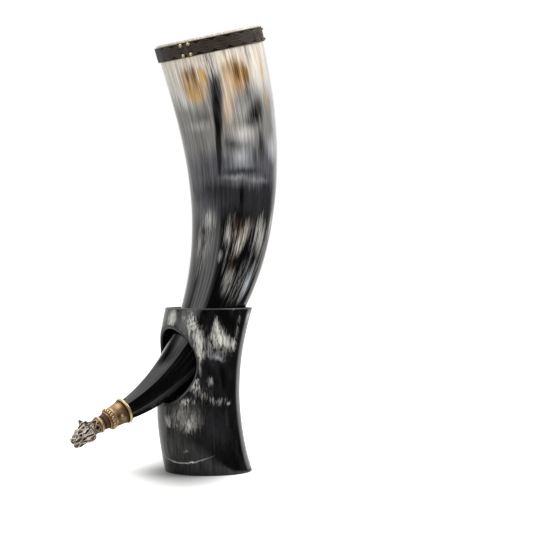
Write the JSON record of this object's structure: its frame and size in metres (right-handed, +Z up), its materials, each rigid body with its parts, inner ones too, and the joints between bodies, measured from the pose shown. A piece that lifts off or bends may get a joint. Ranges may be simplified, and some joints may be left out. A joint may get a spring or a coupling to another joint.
{
  "type": "drinking horn",
  "caption": "Curved horn cup with a tacked leather rim band and a cast animal's-head tip, which stands in a hollow horn section and lifts out of it.",
  "frame": {"origin": "middle of the whole object's box, on the surface that the stand rests on", "axes": "+Z up, the horn's tip towards -X, the horn's plane of symmetry is XZ"},
  "size_m": [0.1998, 0.0962, 0.3895],
  "materials": {
    "stand_horn": "polished dark horn with pale mottling",
    "cup_horn": "polished horn, ivory at the rim to black at the tip",
    "band_leather": "embossed black leather",
    "tack_brass": "aged brass",
    "fitting_brass": "antiqued brass casting",
    "antique_casting": "antique silvered brass casting with dark recesses",
    "stud_steel": "plain"
  },
  "bodies": {
    "stand": {"horn_stand": "stand_horn"},
    "horn": {"horn_cup": "cup_horn", "rim_strip_1": "band_leather", "rim_strip_2": "band_leather", "rim_strip_3": "band_leather", "rim_tack_1": "tack_brass", "rim_tack_2": "tack_brass", "rim_tack_3": "tack_brass", "rim_tack_4": "tack_brass", "rim_tack_5": "tack_brass", "rim_tack_6": "tack_brass", "rim_tack_7": "tack_brass", "rim_tack_8": "tack_brass", "rim_tack_9": "tack_brass", "rim_tack_10": "tack_brass", "rim_tack_11": "tack_brass", "rim_tack_12": "tack_brass", "ferrule_pin_1": "tack_brass", "ferrule_pin_2": "tack_brass", "tip_ferrule": "fitting_brass", "rope_ring": "fitting_brass", "neck_sleeve": "fitting_brass", "neck_ring": "fitting_brass", "knot_collar": "antique_casting", "beast_head": "antique_casting", "finial_stud": "stud_steel"}
  },
  "joints": [
    {"name": "horn_lift", "type": "hinge", "parent": "stand", "child": "horn", "pos_m": [-0.13, 0, 0.21], "axis": [0, -1, 0], "range_deg": [0, 65]}
  ]
}
